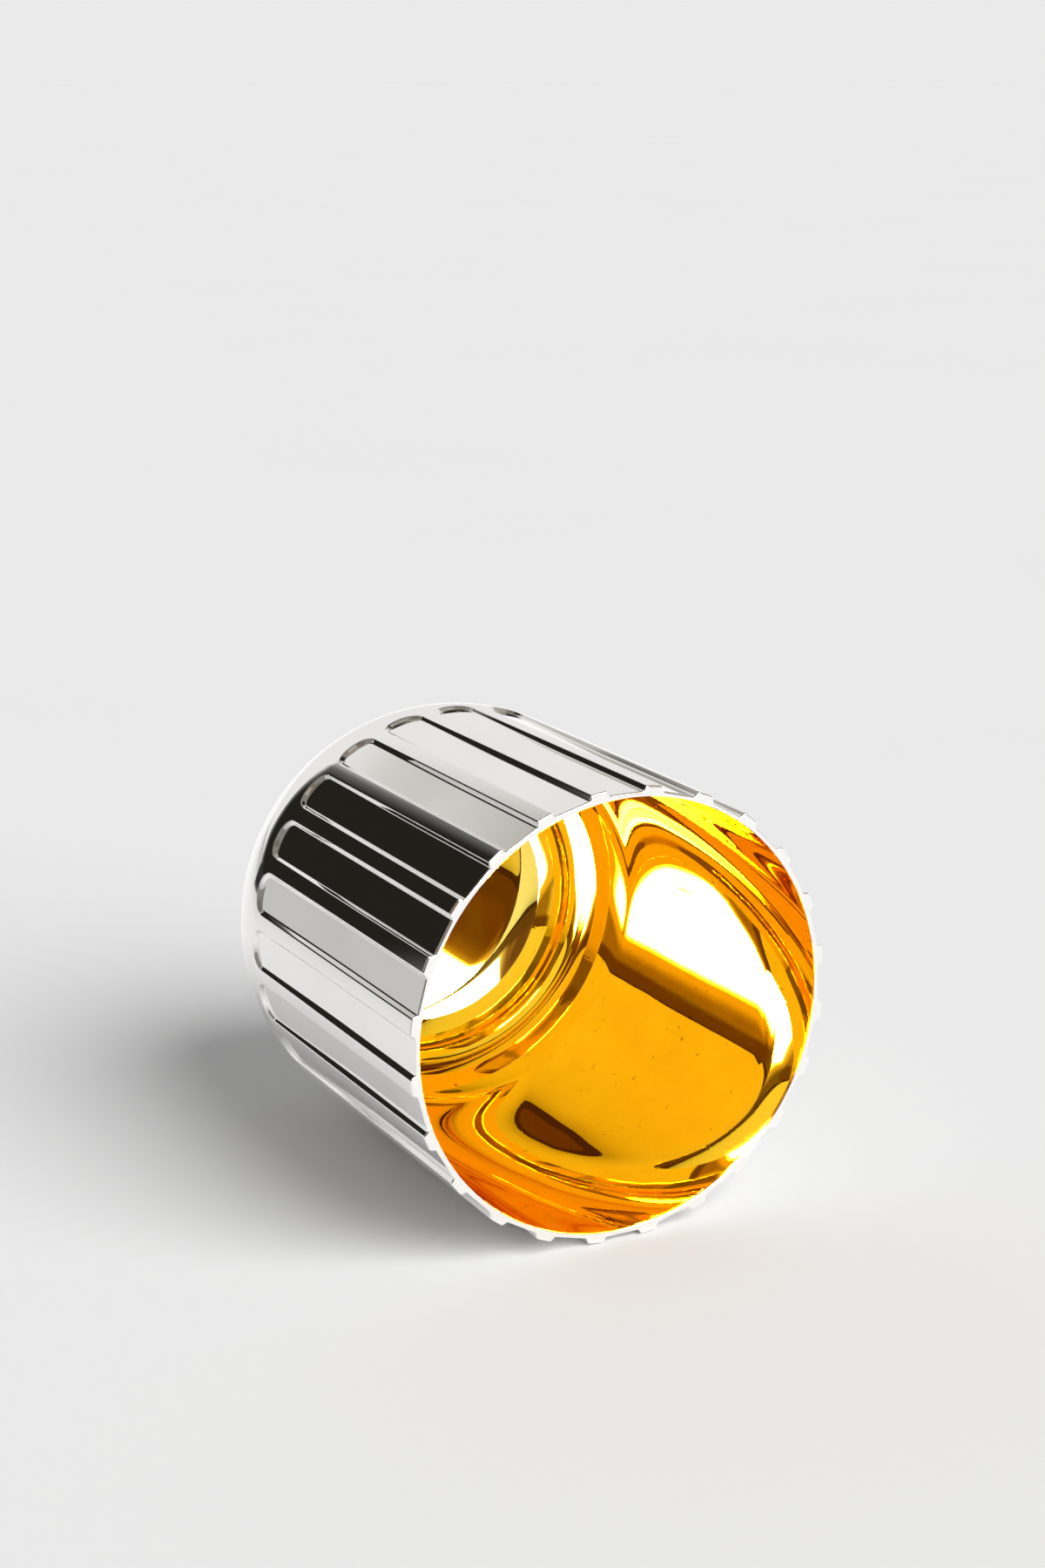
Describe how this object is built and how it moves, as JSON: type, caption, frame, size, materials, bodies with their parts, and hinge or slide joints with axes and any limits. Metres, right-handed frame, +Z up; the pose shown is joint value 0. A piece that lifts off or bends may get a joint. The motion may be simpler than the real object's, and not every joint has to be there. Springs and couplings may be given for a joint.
{
  "type": "silver cup",
  "caption": "Round fluted silver tumbler with a smooth gilt lining, a rounded shoulder and a flat let-in base, lying on its side.",
  "frame": {"origin": "on the floor below the middle of the cup, which lies on its side", "axes": "+Y runs from the mouth to the foot, parallel to the cup's own axis, which lies 0.037936 m above the origin; +Z up, +X to the right when looking into the mouth along +Y"},
  "size_m": [0.0758, 0.085, 0.0759],
  "materials": {
    "silver": "mirror polished silver",
    "gilt": "mirror polished gilding",
    "base_silver": "polished silver with fine turning lines"
  },
  "bodies": {
    "root": {"fluted_body": "silver", "gilt_lining": "gilt", "base_plate": "base_silver"}
  },
  "joints": []
}
